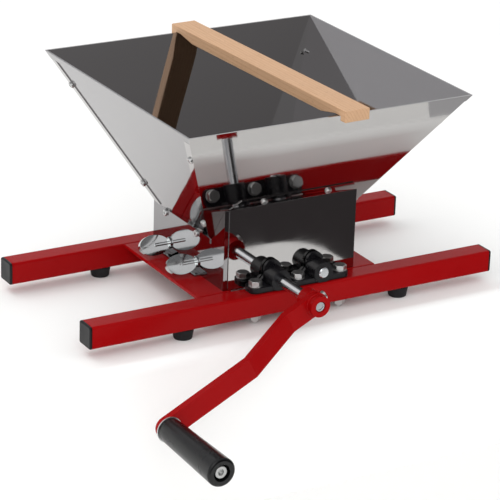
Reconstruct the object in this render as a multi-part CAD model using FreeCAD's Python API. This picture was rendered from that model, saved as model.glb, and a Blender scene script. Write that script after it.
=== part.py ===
import FreeCAD, Part
import math
import os

# Hand cranked apple scratter: a sheet steel hopper over two meshing toothed
# rollers, carried by two square tubes that lie across a tub.
# X runs along the tubes, Y along the roller shafts with the crank at -Y, and
# Z points up. The origin is centred between the tubes, level with the feet.
# All sizes are in millimetres.

# Square frame tubes
TUBE_SIZE = 25.0
TUBE_WALL = 1.5
TUBE_CORNER = 2.5
TUBE_LENGTH = 494.0
TUBE_SPACING = 194.0
CAP_THICKNESS = 3.0
CAP_ROUNDING = 1.0
CAP_PLUG_DEPTH = 10.0
CAP_PLUG_WALL = 2.0
CAP_PLUG_CLEARANCE = 0.1

# Rubber feet and their screws
FOOT_HEIGHT = 12.0
FOOT_TOP_RADIUS = 12.0
FOOT_BASE_RADIUS = 10.0
FOOT_PITCH = 269.0
FOOT_SCREW_RADIUS = 2.5
FOOT_SCREW_HEAD_RADIUS = 4.5
FOOT_SCREW_HEAD_HEIGHT = 3.0
FOOT_RECESS_RADIUS = 5.0
FOOT_RECESS_DEPTH = 6.0
FOOT_NUT_WIDTH = 8.0
FOOT_NUT_HEIGHT = 4.0

# Cross plates between the tubes
PLATE_THICKNESS = 4.0
PLATE_WIDTH = 41.0
PLATE_REACH = 111.0

# Bearing bridges, one on each tube
HOUSING_OFFSET = 5.0
ROLLER_SPACING = 52.72
SHAFT_RISE = 11.0
BRIDGE_THICKNESS = 6.0
BRIDGE_WIDTH = 21.0
BRIDGE_END_MARGIN = 8.3
BRIDGE_CORNER = 7.0
TOWER_THICKNESS = 3.5
TOWER_HALF_WIDTH = 10.5
TOWER_RISE = 17.5
TOWER_FLARE = 5.0
BOSS_RADIUS = 11.75
BOSS_LENGTH = 19.0
RUNNING_CLEARANCE = 0.05

# Fasteners of the bearing bridges
BOLT_RADIUS = 4.0
BOLT_HEAD_WIDTH = 13.0
BOLT_HEAD_HEIGHT = 5.3
BOLT_FACE_RADIUS = 6.1
BOLT_CHAMFER_ANGLE = 30.0
BOLT_TAIL = 2.9
BOLT_HOLE_CLEARANCE = 0.5
WASHER_RADIUS = 7.5
WASHER_THICKNESS = 1.6
NUT_HEIGHT = 6.5
THREAD_CLEARANCE = 0.05

# Shafts
SHAFT_RADIUS = 6.0
SHAFT_BODY_RADIUS = 8.0
SHAFT_END_PLAY = 0.3
SHAFT_CHAMFER = 1.0
SHAFT_REAR_STICKOUT = 1.5
SHAFT_CENTRE_RADIUS = 3.8
SHAFT_CENTRE_DEPTH = 0.8
SHAFT_HOLE_CLEARANCE = 1.0

# Toothed rollers
TOOTH_COUNT = 12
TOOTH_ADDENDUM = 3.1
TOOTH_DEDENDUM = 3.9
TOOTH_TIP_WIDTH = 2.6
TOOTH_ROOT_WIDTH = 7.6
ROLLER_END_GAP = 6.5
GROOVE_COUNT = 5
GROOVE_WIDTH = 3.0
GROOVE_FLOOR = 1.2
ROLLER_BORE_CLEARANCE = 0.05
ROLLER_PIN_RADIUS = 2.5
ROLLER_PIN_INSET = 20.0

# Sheet metal of the housing
SHEET = 1.0
FRONT_COVER_GAP = 1.0
REAR_COVER_GAP = 7.5
COVER_WIDTH = 157.4
COVER_FLANGE = 14.2
COVER_CHAMFER = 10.0
SIDE_PANEL_SPACING = 158.0
SIDE_PANEL_HEIGHT = 50.0
SIDE_FLANGE = 14.0
PANEL_CLEARANCE = 0.3

# Hopper
HOPPER_HEIGHT = 160.0
HOPPER_TOP_LENGTH = 338.0
HOPPER_TOP_WIDTH = 328.0
THROAT_WIDTH = 118.0
THROAT_OFFSET = 5.0
LIP_HEIGHT = 6.0
HEM_HEIGHT = 8.0
SEAM_WIDTH = 12.0
SEAM_START = 3.0

# Deflector sheets inside the throat
CHUTE_FLANGE = 8.0
CHUTE_GAP = 3.5
CHUTE_DROP_ANGLE = 20.0

# Small sheet metal screws
SCREW_RADIUS = 2.0
SCREW_HEAD_RADIUS = 3.8
SCREW_HEAD_HEIGHT = 2.2
SCREW_TAIL = 3.0
SCREW_CROSS_REACH = 2.0
SCREW_CROSS_WIDTH = 0.9
SCREW_CROSS_DEPTH = 1.3
SEAM_SCREW_LOW = 24.0
SEAM_SCREW_HIGH = 126.0
COVER_SCREW_PITCH = 79.0
LIP_SCREW_PITCH = 70.0
LIP_SCREW_OFFSET = 11.0

# Spade screws that clamp the housing to the frame
SPADE_SPACING = 62.0
SPADE_OFFSET = 8.0
SPADE_RISE = 12.5
SPADE_RADIUS = 4.0
SPADE_COLLAR_RADIUS = 6.5
SPADE_COLLAR_LENGTH = 1.5
SPADE_LEAF_LENGTH = 36.0
SPADE_LEAF_WIDTH = 23.0
SPADE_LEAF_ROOT = 0.8
SPADE_LEAF_THICKNESS = 5.0
SPADE_DOME_RADIUS = 48.0
SPADE_RIB_RADIUS = 3.1
SPADE_FRONT_TURN = -38.0
SPADE_REAR_TURN = -28.0
SPADE_TAIL = 2.5
SEAT_GAP = 0.3
STRIP_THICKNESS = 2.5
STRIP_WIDTH = 8.0
TAB_THICKNESS = 3.0
TAB_HEIGHT = 23.0
TAB_LENGTH = 84.0

# Crank
CRANK_RADIUS = 208.0
CRANK_DROP = 26.7
HUB_RADIUS = 11.5
HUB_LENGTH = 29.0
HUB_STANDOFF = 51.0
ARM_WIDTH = 23.5
ARM_THICKNESS = 8.0
ARM_SETBACK = 8.0
ARM_BEND_START = 34.7
ARM_BEND_END = 100.1
ARM_JOG = 25.5
SET_SCREW_RADIUS = 3.0
SET_SCREW_HEAD_RADIUS = 5.0
SET_SCREW_HEAD_HEIGHT = 3.5
SET_SCREW_INSET = 14.5
HUB_END_RECESS = 1.0

# Grip that turns on a shoulder bolt
GRIP_LENGTH = 107.7
GRIP_INNER_RADIUS = 13.25
GRIP_OUTER_RADIUS = 15.5
GRIP_ROUNDING = 3.0
GRIP_RECESS_RADIUS = 9.0
GRIP_RECESS_DEPTH = 10.3
GRIP_PLAY = 0.3
GRIP_CLEARANCE = 0.08
SHOULDER_RADIUS = 5.0
GRIP_HEAD_RADIUS = 6.5
GRIP_HEAD_HEIGHT = 8.0
GRIP_SOCKET_WIDTH = 6.0
GRIP_SOCKET_DEPTH = 4.0
GRIP_WASHER_RADIUS = 14.2
GRIP_WASHER_THICKNESS = 1.5
GRIP_BOLT_TAIL = 1.5

# Wooden pusher lying across the rim
PUSHER_LENGTH = 352.0
PUSHER_WIDTH = 30.0
PUSHER_THICKNESS = 12.5
PUSHER_NOTCH_DEPTH = 5.0
PUSHER_NOTCH_CLEARANCE = 0.6
PUSHER_SEAT_LENGTH = 10.0
PUSHER_TAPER_LENGTH = 26.0
PUSHER_REST_GAP = 0.2
PUSHER_TURN = 2.0
PUSHER_OFFSET = 14.0

# Places that follow from the sizes above
TUBE_Y = TUBE_SPACING / 2
TUBE_INNER_Y = TUBE_Y - TUBE_SIZE / 2
TUBE_TOP = FOOT_HEIGHT + TUBE_SIZE
TUBE_FLOOR = FOOT_HEIGHT + TUBE_WALL
SHAFT_Z = TUBE_TOP + SHAFT_RISE
DRIVE_X = HOUSING_OFFSET - ROLLER_SPACING / 2
IDLE_X = HOUSING_OFFSET + ROLLER_SPACING / 2
BOLT_X = [HOUSING_OFFSET + step * ROLLER_SPACING for step in (-1, 0, 1)]
BOLT_SEAT_Z = TUBE_TOP + BRIDGE_THICKNESS
FRONT_Y = -(TUBE_INNER_Y - FRONT_COVER_GAP)
REAR_Y = TUBE_INNER_Y - REAR_COVER_GAP
PANEL_X = SIDE_PANEL_SPACING / 2
THROAT_X = PANEL_X + SHEET
THROAT_Z = TUBE_TOP + SIDE_PANEL_HEIGHT
THROAT_FRONT = THROAT_OFFSET - THROAT_WIDTH / 2
THROAT_REAR = THROAT_OFFSET + THROAT_WIDTH / 2
RIM_Z = THROAT_Z + HOPPER_HEIGHT
LIP_Z = THROAT_Z - LIP_HEIGHT
SIDE_SLOPE = (HOPPER_TOP_LENGTH / 2 - THROAT_X) / HOPPER_HEIGHT
FRONT_SLOPE = (HOPPER_TOP_WIDTH / 2 + THROAT_FRONT) / HOPPER_HEIGHT
REAR_SLOPE = (HOPPER_TOP_WIDTH / 2 - THROAT_REAR) / HOPPER_HEIGHT
PITCH_RADIUS = ROLLER_SPACING / 2
OUTER_RADIUS = PITCH_RADIUS + TOOTH_ADDENDUM
ROOT_RADIUS = PITCH_RADIUS - TOOTH_DEDENDUM
ROLLER_FRONT = FRONT_Y + SHEET + ROLLER_END_GAP
ROLLER_REAR = REAR_Y - SHEET - ROLLER_END_GAP
HUB_REAR = -(TUBE_INNER_Y + TOWER_THICKNESS + BOSS_LENGTH + HUB_STANDOFF)
HUB_FRONT = HUB_REAR - HUB_LENGTH
ARM_FACE = HUB_FRONT + ARM_SETBACK
GRIP_WASHER_FRONT = ARM_FACE - ARM_JOG - GRIP_WASHER_THICKNESS
SPADE_Z = TUBE_TOP + SPADE_RISE
SPADE_Y = [SPADE_OFFSET + step * SPADE_SPACING / 2 for step in (-1, 1)]
TAB_X = PANEL_X - SHEET - TAB_THICKNESS

# Working margin by which a cutting shape runs past what it cuts
OVERRUN = 5.0

X_AXIS = FreeCAD.Vector(1, 0, 0)
Y_AXIS = FreeCAD.Vector(0, 1, 0)
Z_AXIS = FreeCAD.Vector(0, 0, 1)


def point(x, y, z):
    return FreeCAD.Vector(x, y, z)


def box(x_range, y_range, z_range):
    """Box between two limits along each axis."""
    x0, x1 = min(x_range), max(x_range)
    y0, y1 = min(y_range), max(y_range)
    z0, z1 = min(z_range), max(z_range)
    return Part.makeBox(x1 - x0, y1 - y0, z1 - z0, point(x0, y0, z0))


def rod(radius, start, direction, length):
    return Part.makeCylinder(radius, length, start, direction)


def rod_x(radius, y, z, x0, x1):
    return rod(radius, point(min(x0, x1), y, z), X_AXIS, abs(x1 - x0))


def rod_y(radius, x, z, y0, y1):
    return rod(radius, point(x, min(y0, y1), z), Y_AXIS, abs(y1 - y0))


def rod_z(radius, x, y, z0, z1):
    return rod(radius, point(x, y, min(z0, z1)), Z_AXIS, abs(z1 - z0))


def prism(corners, sweep):
    """Solid swept from the closed outline through the corners."""
    outline = Part.makePolygon(list(corners) + [corners[0]])
    return Part.Face(outline).extrude(sweep)


def prism_x(yz_corners, x0, x1):
    """Outline in the YZ plane, swept along X."""
    return prism([point(x0, y, z) for y, z in yz_corners], point(x1 - x0, 0, 0))


def prism_y(xz_corners, y0, y1):
    """Outline in the XZ plane, swept along Y."""
    return prism([point(x, y0, z) for x, z in xz_corners], point(0, y1 - y0, 0))


def fuse(shapes):
    """One solid from shapes that touch or overlap."""
    return shapes[0].fuse(shapes[1:]).removeSplitter()


def group(shapes):
    return Part.makeCompound(shapes)


def mirror_x(shape):
    return shape.mirror(point(0, 0, 0), X_AXIS)


def mirror_y(shape):
    return shape.mirror(point(0, 0, 0), Y_AXIS)


def edges_along(shape, direction):
    """Straight edges of a shape that run along a direction."""
    found = []
    for edge in shape.Edges:
        if isinstance(edge.Curve, Part.Line):
            if abs(edge.Curve.Direction.dot(direction)) > 0.999:
                found.append(edge)
    return found


def hexagon(width, start, direction, height):
    """Hexagonal prism, with its width across flats."""
    corner_radius = width / 2 / math.cos(math.radians(30))
    angles = [math.radians(60 * step + 30) for step in range(6)]
    corners = [point(corner_radius * math.cos(a), corner_radius * math.sin(a), 0)
               for a in angles]
    shape = prism(corners, point(0, 0, height))
    turn = FreeCAD.Rotation(Z_AXIS, direction)
    shape.Placement = FreeCAD.Placement(start, turn)
    return shape


def chamfered_head(width, face_radius, start, direction, height):
    """Hexagonal head whose outer corners are turned to a cone."""
    spread = height / math.tan(math.radians(BOLT_CHAMFER_ANGLE))
    cone = Part.makeCone(face_radius + spread, face_radius, height)
    cone.Placement = FreeCAD.Placement(start, FreeCAD.Rotation(Z_AXIS, direction))
    return hexagon(width, start, direction, height).common(cone)


def bent_outline(points, thickness):
    """Outline of a bent sheet: the points are its right hand face."""
    normals = []
    for (x0, y0), (x1, y1) in zip(points[:-1], points[1:]):
        length = math.hypot(x1 - x0, y1 - y0)
        normals.append(((y0 - y1) / length, (x1 - x0) / length))
    offset = []
    for index, (x, y) in enumerate(points):
        before = normals[max(index - 1, 0)]
        after = normals[min(index, len(normals) - 1)]
        mitre = 1 + before[0] * after[0] + before[1] * after[1]
        offset.append((x + thickness * (before[0] + after[0]) / mitre,
                       y + thickness * (before[1] + after[1]) / mitre))
    return list(points) + offset[::-1]


# Outer faces of the sloped hopper panels, at a height z
def side_x(z):
    return THROAT_X + SIDE_SLOPE * (z - THROAT_Z)


def front_y(z):
    return THROAT_FRONT - FRONT_SLOPE * (z - THROAT_Z)


def rear_y(z):
    return THROAT_REAR + REAR_SLOPE * (z - THROAT_Z)


def level_thickness(slope):
    """Thickness of a sloped sheet, measured along a level line."""
    return SHEET * math.hypot(1, slope)


# Frame

def square_bar(size, corner, length):
    bar = box((-length / 2, length / 2), (-size / 2, size / 2), (-size / 2, size / 2))
    return bar.makeFillet(corner, edges_along(bar, X_AXIS))


def frame_tube(side):
    outer = square_bar(TUBE_SIZE, TUBE_CORNER, TUBE_LENGTH)
    inner = square_bar(TUBE_SIZE - 2 * TUBE_WALL, TUBE_CORNER - TUBE_WALL,
                       TUBE_LENGTH + OVERRUN)
    tube = outer.cut(inner)
    tube.translate(point(0, side * TUBE_Y, FOOT_HEIGHT + TUBE_SIZE / 2))
    holes = [rod_z(BOLT_RADIUS + BOLT_HOLE_CLEARANCE, x, side * TUBE_Y, 0, TUBE_TOP + OVERRUN)
             for x in BOLT_X]
    holes += [rod_z(FOOT_SCREW_RADIUS + THREAD_CLEARANCE, x, side * TUBE_Y, 0,
                    TUBE_TOP - TUBE_SIZE / 2)
              for x in (-FOOT_PITCH / 2, FOOT_PITCH / 2)]
    return tube.cut(holes)


def tube_end_cap():
    """Cap of the right hand end of a tube that lies on the X axis."""
    inner_size = TUBE_SIZE - 2 * TUBE_WALL
    plate = square_bar(TUBE_SIZE, TUBE_CORNER, CAP_THICKNESS)
    plate.translate(point(CAP_THICKNESS / 2, 0, 0))
    rim = [edge for edge in plate.Edges
           if abs(edge.CenterOfMass.x - CAP_THICKNESS) < 0.001]
    plate = plate.makeChamfer(CAP_ROUNDING, rim)
    plug_size = inner_size - 2 * CAP_PLUG_CLEARANCE
    plug = square_bar(plug_size, TUBE_CORNER - TUBE_WALL, CAP_PLUG_DEPTH)
    hollow_size = plug_size - 2 * CAP_PLUG_WALL
    hollow = box((-CAP_PLUG_DEPTH, CAP_PLUG_DEPTH), (-hollow_size / 2, hollow_size / 2),
                 (-hollow_size / 2, hollow_size / 2))
    plug = plug.cut(hollow)
    plug.translate(point(-CAP_PLUG_DEPTH / 2, 0, 0))
    return fuse([plate, plug])


def tube_end_caps():
    caps = []
    for side in (-1, 1):
        cap = tube_end_cap()
        cap.translate(point(TUBE_LENGTH / 2, side * TUBE_Y, FOOT_HEIGHT + TUBE_SIZE / 2))
        caps += [cap, mirror_x(cap)]
    return group(caps)


def at_feet(build):
    """One copy of a piece under each end of each tube."""
    return group([build(x, side * TUBE_Y)
                  for side in (-1, 1) for x in (-FOOT_PITCH / 2, FOOT_PITCH / 2)])


def rubber_foot(x, y):
    foot = Part.makeCone(FOOT_BASE_RADIUS, FOOT_TOP_RADIUS, FOOT_HEIGHT, point(x, y, 0))
    recess = rod_z(FOOT_RECESS_RADIUS, x, y, -OVERRUN, FOOT_RECESS_DEPTH)
    hole = rod_z(FOOT_SCREW_RADIUS + THREAD_CLEARANCE, x, y, 0, FOOT_HEIGHT + OVERRUN)
    return foot.cut([recess, hole])


def foot_screw(x, y):
    head_bottom = FOOT_RECESS_DEPTH - FOOT_SCREW_HEAD_HEIGHT
    head = rod_z(FOOT_SCREW_HEAD_RADIUS, x, y, head_bottom, FOOT_RECESS_DEPTH)
    shank_top = TUBE_FLOOR + FOOT_NUT_HEIGHT + 1
    shank = rod_z(FOOT_SCREW_RADIUS, x, y, FOOT_RECESS_DEPTH, shank_top)
    return fuse([head, shank])


def foot_nut(x, y):
    nut = hexagon(FOOT_NUT_WIDTH, point(x, y, TUBE_FLOOR), Z_AXIS, FOOT_NUT_HEIGHT)
    return nut.cut(rod_z(FOOT_SCREW_RADIUS + THREAD_CLEARANCE, x, y, 0, TUBE_TOP))


def right_cross_plate():
    return box((PLATE_REACH - PLATE_WIDTH, PLATE_REACH), (-TUBE_INNER_Y, TUBE_INNER_Y),
               (TUBE_TOP - PLATE_THICKNESS, TUBE_TOP))


# Clamping of the housing to the frame

def spade_holes(x0, x1, clearance):
    return [rod_x(SPADE_RADIUS + clearance, y, SPADE_Z, x0, x1) for y in SPADE_Y]


def right_clamp_tab():
    half = TAB_LENGTH / 2
    tab = box((TAB_X, TAB_X + TAB_THICKNESS), (SPADE_OFFSET - half, SPADE_OFFSET + half),
              (TUBE_TOP, TUBE_TOP + TAB_HEIGHT))
    return tab.cut(spade_holes(TAB_X - OVERRUN, PANEL_X, BOLT_HOLE_CLEARANCE))


def right_locating_strip():
    half = TAB_LENGTH / 2
    return box((PANEL_X, PANEL_X + STRIP_WIDTH), (SPADE_OFFSET - half, SPADE_OFFSET + half),
               (TUBE_TOP, TUBE_TOP + STRIP_THICKNESS))


def weld_nuts():
    nuts = []
    for y in SPADE_Y:
        nut = hexagon(BOLT_HEAD_WIDTH, point(TAB_X - NUT_HEIGHT, y, SPADE_Z), X_AXIS,
                      NUT_HEIGHT)
        nut = nut.cut(spade_holes(0, PANEL_X, RUNNING_CLEARANCE))
        nuts += [nut, mirror_x(nut)]
    return group(nuts)


def right_spade_screw(y, turn):
    """Spade screw with an oval domed leaf, turned on its axis from upright."""
    collar_x = PANEL_X + SEAT_GAP
    neck_x = collar_x + SPADE_COLLAR_LENGTH
    leaf_x = neck_x - SPADE_LEAF_ROOT + SPADE_LEAF_LENGTH / 2
    half = SPADE_LEAF_THICKNESS / 2
    outline = Part.Ellipse(point(leaf_x + SPADE_LEAF_LENGTH / 2, y - half, SPADE_Z),
                           point(leaf_x, y - half, SPADE_Z + SPADE_LEAF_WIDTH / 2),
                           point(leaf_x, y - half, SPADE_Z))
    leaf = Part.Face(Part.Wire([outline.toShape()])).extrude(point(0, 2 * half, 0))
    for middle in (y - half + SPADE_DOME_RADIUS, y + half - SPADE_DOME_RADIUS):
        leaf = leaf.common(rod_x(SPADE_DOME_RADIUS, middle, SPADE_Z, 0, 2 * PANEL_X))
    rib = rod_x(SPADE_RIB_RADIUS, y, SPADE_Z, neck_x, leaf_x)
    leaf = fuse([leaf, rib])
    leaf.rotate(point(0, y, SPADE_Z), X_AXIS, turn)
    shank = rod_x(SPADE_RADIUS, y, SPADE_Z, TAB_X - NUT_HEIGHT - SPADE_TAIL, neck_x)
    collar = rod_x(SPADE_COLLAR_RADIUS, y, SPADE_Z, collar_x, neck_x)
    return fuse([shank, collar, leaf])


# Bearings and their fasteners

def rear_bearing_bridge():
    half_length = ROLLER_SPACING + BRIDGE_END_MARGIN
    base = box((HOUSING_OFFSET - half_length, HOUSING_OFFSET + half_length),
               (TUBE_INNER_Y, TUBE_INNER_Y + BRIDGE_WIDTH), (TUBE_TOP, BOLT_SEAT_Z))
    base = base.makeFillet(BRIDGE_CORNER, edges_along(base, Z_AXIS))
    tower_y = TUBE_INNER_Y + TOWER_THICKNESS
    round_z = SHAFT_Z + TOWER_RISE - TOWER_HALF_WIDTH
    pieces = [base]
    bores = []
    for x in (DRIVE_X, IDLE_X):
        flare = TOWER_HALF_WIDTH + TOWER_FLARE
        pieces.append(prism_y([(x - flare, BOLT_SEAT_Z),
                               (x - TOWER_HALF_WIDTH, BOLT_SEAT_Z + TOWER_FLARE),
                               (x - TOWER_HALF_WIDTH, round_z),
                               (x + TOWER_HALF_WIDTH, round_z),
                               (x + TOWER_HALF_WIDTH, BOLT_SEAT_Z + TOWER_FLARE),
                               (x + flare, BOLT_SEAT_Z)], TUBE_INNER_Y, tower_y))
        pieces.append(rod_y(TOWER_HALF_WIDTH, x, round_z, TUBE_INNER_Y, tower_y))
        boss = rod_y(BOSS_RADIUS, x, SHAFT_Z, tower_y, tower_y + BOSS_LENGTH)
        below = box((x - 2 * BOSS_RADIUS, x + 2 * BOSS_RADIUS),
                    (tower_y - OVERRUN, tower_y + BOSS_LENGTH + OVERRUN),
                    (TUBE_TOP - 2 * BOSS_RADIUS, TUBE_TOP))
        pieces.append(boss.cut(below))
        bores.append(rod_y(SHAFT_RADIUS + RUNNING_CLEARANCE, x, SHAFT_Z, 0, 2 * TUBE_Y))
    bridge = fuse(pieces).cut(bores)
    return bridge.cut([rod_z(BOLT_RADIUS + BOLT_HOLE_CLEARANCE, x, TUBE_Y, 0, 2 * TUBE_TOP)
                       for x in BOLT_X])


def at_bolts(build):
    """One copy of a fastener at each bolt of both bearing bridges."""
    return group([build(x, side * TUBE_Y) for side in (-1, 1) for x in BOLT_X])


def bearing_bolt(x, y):
    head_z = BOLT_SEAT_Z + WASHER_THICKNESS
    shank_bottom = FOOT_HEIGHT - NUT_HEIGHT - BOLT_TAIL
    head = chamfered_head(BOLT_HEAD_WIDTH, BOLT_FACE_RADIUS, point(x, y, head_z), Z_AXIS,
                          BOLT_HEAD_HEIGHT)
    shank = rod_z(BOLT_RADIUS, x, y, shank_bottom, head_z)
    return fuse([head, shank])


def bearing_washer(x, y):
    washer = rod_z(WASHER_RADIUS, x, y, BOLT_SEAT_Z, BOLT_SEAT_Z + WASHER_THICKNESS)
    return washer.cut(rod_z(BOLT_RADIUS + THREAD_CLEARANCE, x, y, 0, 2 * TUBE_TOP))


def bearing_nut(x, y):
    nut = hexagon(BOLT_HEAD_WIDTH, point(x, y, FOOT_HEIGHT - NUT_HEIGHT), Z_AXIS, NUT_HEIGHT)
    return nut.cut(rod_z(BOLT_RADIUS + THREAD_CLEARANCE, x, y, 0, TUBE_TOP))


# Shafts and rollers

def pin_holes(x, radius):
    """Cross pins through a roller and its shaft, near both ends."""
    return [rod_z(radius, x, y, SHAFT_Z - ROOT_RADIUS + GROOVE_FLOOR,
                  SHAFT_Z + ROOT_RADIUS - GROOVE_FLOOR)
            for y in (ROLLER_FRONT + ROLLER_PIN_INSET, ROLLER_REAR - ROLLER_PIN_INSET)]


def stepped_shaft(x, front):
    shoulder = TUBE_INNER_Y - SHAFT_END_PLAY
    rear = TUBE_INNER_Y + TOWER_THICKNESS + BOSS_LENGTH + SHAFT_REAR_STICKOUT
    journal = rod_y(SHAFT_RADIUS, x, SHAFT_Z, front, rear)
    ends = [edge for edge in journal.Edges if edge.Closed and len(edge.Vertexes) == 1]
    journal = journal.makeChamfer(SHAFT_CHAMFER, ends)
    body = rod_y(SHAFT_BODY_RADIUS, x, SHAFT_Z, -shoulder, shoulder)
    return fuse([journal, body]).cut(pin_holes(x, ROLLER_PIN_RADIUS))


def drive_shaft():
    front = HUB_FRONT + HUB_END_RECESS
    centre = rod_y(SHAFT_CENTRE_RADIUS, DRIVE_X, SHAFT_Z, front - OVERRUN,
                   front + SHAFT_CENTRE_DEPTH)
    return stepped_shaft(DRIVE_X, front).cut(centre)


def toothed_roller(x, phase):
    """Roller with straight teeth, crossed by round grooves."""
    corners = []
    for tooth in range(TOOTH_COUNT):
        middle = 2 * math.pi * (tooth + phase) / TOOTH_COUNT
        for radius, width in ((ROOT_RADIUS, -TOOTH_ROOT_WIDTH), (OUTER_RADIUS, -TOOTH_TIP_WIDTH),
                              (OUTER_RADIUS, TOOTH_TIP_WIDTH), (ROOT_RADIUS, TOOTH_ROOT_WIDTH)):
            angle = middle + width / 2 / radius
            corners.append((x + radius * math.cos(angle), SHAFT_Z + radius * math.sin(angle)))
    roller = prism_y(corners, ROLLER_FRONT, ROLLER_REAR)
    spacing = (ROLLER_REAR - ROLLER_FRONT) / (GROOVE_COUNT + 1)
    cuts = []
    for groove in range(GROOVE_COUNT):
        middle = ROLLER_FRONT + spacing * (groove + 1)
        start, end = middle - GROOVE_WIDTH / 2, middle + GROOVE_WIDTH / 2
        ring = rod_y(OUTER_RADIUS + OVERRUN, x, SHAFT_Z, start, end)
        cuts.append(ring.cut(rod_y(ROOT_RADIUS - GROOVE_FLOOR, x, SHAFT_Z, start, end)))
    bore = rod_y(SHAFT_BODY_RADIUS + ROLLER_BORE_CLEARANCE, x, SHAFT_Z,
                 ROLLER_FRONT - OVERRUN, ROLLER_REAR + OVERRUN)
    return roller.cut(cuts + [bore] + pin_holes(x, ROLLER_PIN_RADIUS))


# Housing sheets

def bend_height(slope, throat_y, face_y):
    """Height at which an upright sheet's inner face meets a hopper panel."""
    return THROAT_Z + (abs(face_y) - abs(throat_y)) / slope


def shaft_holes():
    return [rod_y(SHAFT_BODY_RADIUS + SHAFT_HOLE_CLEARANCE, x, SHAFT_Z, -TUBE_Y, TUBE_Y)
            for x in (DRIVE_X, IDLE_X)]


def cover(slope, throat_y, face_y):
    """Rear hand cover: upright sheet bent back to lie on a hopper panel."""
    bend_z = bend_height(slope, throat_y, face_y - SHEET)
    rise = COVER_FLANGE / math.hypot(1, slope)
    inner = face_y - SHEET
    profile = bent_outline([(inner + slope * rise, bend_z + rise), (inner, bend_z),
                            (inner, TUBE_TOP)], SHEET)
    top = bend_z + rise + OVERRUN
    left = HOUSING_OFFSET - COVER_WIDTH / 2
    right = HOUSING_OFFSET + COVER_WIDTH / 2
    sheet = prism_x(profile, left, right)
    taper = COVER_CHAMFER * (rise + OVERRUN) / rise
    front = prism_y([(left, 0), (right, 0), (right, bend_z), (right - taper, top),
                     (left + taper, top), (left, bend_z)], 0, 2 * TUBE_Y)
    return sheet.common(front).cut(shaft_holes())


def sloped_direction(slope):
    """Outward normal of a rear hand hopper panel, in Y and Z."""
    length = math.hypot(1, slope)
    return 1 / length, -slope / length


def cover_screw_at(slope, throat_y, face_y, x):
    inner = face_y - SHEET
    middle = COVER_FLANGE / 2 / math.hypot(1, slope)
    normal_y, normal_z = sloped_direction(slope)
    y = inner + slope * middle + SHEET * normal_y
    z = bend_height(slope, throat_y, inner) + middle + SHEET * normal_z
    return point(x, y, z), point(0, normal_y, normal_z)


def cover_screw_places(side):
    """Places and outward directions of the screws in one cover's flange."""
    if side > 0:
        sizes = (REAR_SLOPE, THROAT_REAR, REAR_Y)
    else:
        sizes = (FRONT_SLOPE, -THROAT_FRONT, -FRONT_Y)
    places = []
    for step in (-1, 1):
        place, normal = cover_screw_at(*sizes, HOUSING_OFFSET + step * COVER_SCREW_PITCH / 2)
        places.append((point(place.x, side * place.y, place.z),
                       point(0, side * normal.y, normal.z)))
    return places


def seam_screw_places():
    """Places and outward directions of the screws in the hopper's seams."""
    length = math.hypot(1, SIDE_SLOPE)
    places = []
    for side in (-1, 1):
        normal = point(side / length, 0, -SIDE_SLOPE / length)
        for height in (SEAM_SCREW_LOW, SEAM_SCREW_HIGH):
            z = THROAT_Z + height
            for y in (front_y(z) + SEAM_WIDTH / 2, rear_y(z) - SEAM_WIDTH / 2):
                face = point(side * side_x(z), y, z)
                places.append((face + normal * SHEET, normal))
    return places


def lip_screw_places():
    """Places and outward directions of the screws below the hopper's throat."""
    z = THROAT_Z - SCREW_HEAD_RADIUS - PANEL_CLEARANCE
    return [(point(side * THROAT_X, LIP_SCREW_OFFSET + step * LIP_SCREW_PITCH / 2, z),
             point(side, 0, 0))
            for side in (-1, 1) for step in (-1, 1)]


def cross_recess(place, normal):
    """Cutter for the cross recess in a screw's head."""
    reach = (-SCREW_CROSS_REACH, SCREW_CROSS_REACH)
    width = (-SCREW_CROSS_WIDTH / 2, SCREW_CROSS_WIDTH / 2)
    depth = (SCREW_HEAD_HEIGHT - SCREW_CROSS_DEPTH, SCREW_HEAD_HEIGHT + OVERRUN)
    cross = fuse([box(reach, width, depth), box(width, reach, depth)])
    cross.Placement = FreeCAD.Placement(place, FreeCAD.Rotation(Z_AXIS, normal))
    return cross


def pan_screw(place, normal, grip):
    """Pan head screw whose head sits on a face, with the grip below it."""
    head = rod(SCREW_HEAD_RADIUS, place, normal, SCREW_HEAD_HEIGHT)
    rim = [edge for edge in head.Edges
           if edge.Closed and (edge.CenterOfMass - place).Length > SCREW_HEAD_HEIGHT / 2]
    head = head.makeFillet(SCREW_HEAD_HEIGHT / 2, rim).cut(cross_recess(place, normal))
    shank = rod(SCREW_RADIUS, place, normal * -1, grip + SCREW_TAIL)
    return fuse([head, shank])


def pan_screws(places, grip):
    return group([pan_screw(place, normal, grip) for place, normal in places])


def screw_holes(places):
    """Cutters for the holes of pan head screws."""
    reach = 3 * SCREW_TAIL
    return [rod(SCREW_RADIUS + THREAD_CLEARANCE, place - normal * reach, normal, 2 * reach)
            for place, normal in places]


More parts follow.
